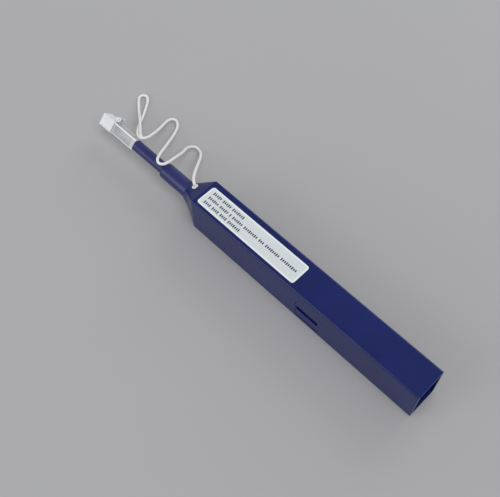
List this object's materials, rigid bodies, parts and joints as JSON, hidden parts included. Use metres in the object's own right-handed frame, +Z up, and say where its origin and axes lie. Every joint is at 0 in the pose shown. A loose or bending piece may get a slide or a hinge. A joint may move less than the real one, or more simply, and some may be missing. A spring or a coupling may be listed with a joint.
{
  "type": "fibre connector cleaning pen",
  "caption": "Push-to-click cleaning pen for fibre-optic connectors: square case, telescoping nozzle, clear guide cap with flip-up dust cap, and a cord wrist strap.",
  "frame": {"origin": "under the middle of the pen's whole length, on the surface it lies on", "axes": "+X from the nose to the case's open tail, +Y toward the side without the reel window, +Z up out of the label face"},
  "size_m": [0.2429, 0.0436, 0.0251],
  "materials": {
    "case_blue": "gloss",
    "nozzle_blue": "gloss",
    "label_white": "satin",
    "cord_white": "braided",
    "cap_clear": "clear plastic",
    "cap_white": "gloss",
    "frame_white": "satin",
    "reel_black": "satin",
    "gear_natural": "satin",
    "thread_white": "thread",
    "steel": "bright",
    "spring_steel": "drawn wire"
  },
  "bodies": {
    "case": {"outer_case": "case_blue", "label_sticker": "label_white", "rack_bar": "gear_natural", "anchor_knot": "cord_white", "strap_cord": "cord_white", "neck_knot": "cord_white", "strap_loop": "cord_white"},
    "inner_unit": {"chassis": "frame_white", "chassis_cover": "frame_white", "cover_screws": "steel", "nozzle_barrel": "nozzle_blue", "supply_axle": "steel", "take_up_axle": "steel", "thread_guide_pins": "steel", "cleaning_thread": "thread_white", "check_pawl": "spring_steel", "return_spring": "spring_steel"},
    "supply_bobbin": {"supply_reel": "gear_natural", "thread_pack": "thread_white"},
    "take_up": {"take_up_reel": "reel_black", "used_thread": "thread_white"},
    "pinion": {"drive_pinion": "gear_natural"},
    "cam": {"cam_sleeve": "gear_natural"},
    "nozzle": {"nozzle_tube": "nozzle_blue", "tip_bush": "gear_natural"},
    "tip": {"tip_shaft": "gear_natural", "cleaning_tip": "cap_white", "tip_thread": "thread_white"},
    "button": {"lock_button": "nozzle_blue"},
    "guide": {"guide_cap": "cap_clear", "hinge_pin": "steel"},
    "dust": {"dust_cap": "cap_white"}
  },
  "joints": [
    {"name": "push_stroke", "type": "slide", "parent": "case", "child": "inner_unit", "axis": [1, 0, 0], "range_m": [0, 0.01005], "stiffness_N_per_m": 400, "springref_m": -0.01, "deforming": ["return_spring", "check_pawl"]},
    {"name": "pinion_spin", "type": "hinge", "parent": "inner_unit", "child": "pinion", "pos_m": [0.04965, 0, 0.0124], "axis": [0, 1, 0], "range_deg": [0, 73]},
    {"name": "take_up_spin", "type": "hinge", "parent": "inner_unit", "child": "take_up", "pos_m": [0.04965, 0, 0.0124], "axis": [0, 1, 0], "range_deg": [0, 73]},
    {"name": "supply_spin", "type": "hinge", "parent": "inner_unit", "child": "supply_bobbin", "pos_m": [0.02202, 0, 0.0124], "axis": [0, 1, 0], "range_deg": [0, 51]},
    {"name": "cam_spin", "type": "hinge", "parent": "inner_unit", "child": "cam", "pos_m": [0, 0, 0.0125], "axis": [1, 0, 0], "range_deg": [0, 181]},
    {"name": "nozzle_extend", "type": "slide", "parent": "inner_unit", "child": "nozzle", "axis": [-1, 0, 0], "range_m": [0, 0.02]},
    {"name": "tip_spin", "type": "hinge", "parent": "nozzle", "child": "tip", "pos_m": [0, 0, 0.0125], "axis": [1, 0, 0], "range_deg": [0, 181]},
    {"name": "lock_press", "type": "slide", "parent": "inner_unit", "child": "button", "axis": [0, 0, 1], "range_m": [0, 0.0007], "stiffness_N_per_m": 800, "springref_m": -0.001},
    {"name": "cap_pull", "type": "slide", "parent": "nozzle", "child": "guide", "axis": [-1, 0, 0], "range_m": [0, 0.03]},
    {"name": "dust_flip", "type": "hinge", "parent": "guide", "child": "dust", "pos_m": [-0.1074, 0.00389, 0.01639], "axis": [0, 0.7071, -0.7071], "range_deg": [0, 150]}
  ],
  "couplings": [
    {"joint": "pinion_spin", "follows": "push_stroke", "rad_per_m": 125},
    {"joint": "take_up_spin", "follows": "push_stroke", "rad_per_m": 125},
    {"joint": "supply_spin", "follows": "push_stroke", "rad_per_m": 85.5},
    {"joint": "cam_spin", "follows": "push_stroke", "rad_per_m": 312.5},
    {"joint": "tip_spin", "follows": "push_stroke", "rad_per_m": 312.5}
  ]
}
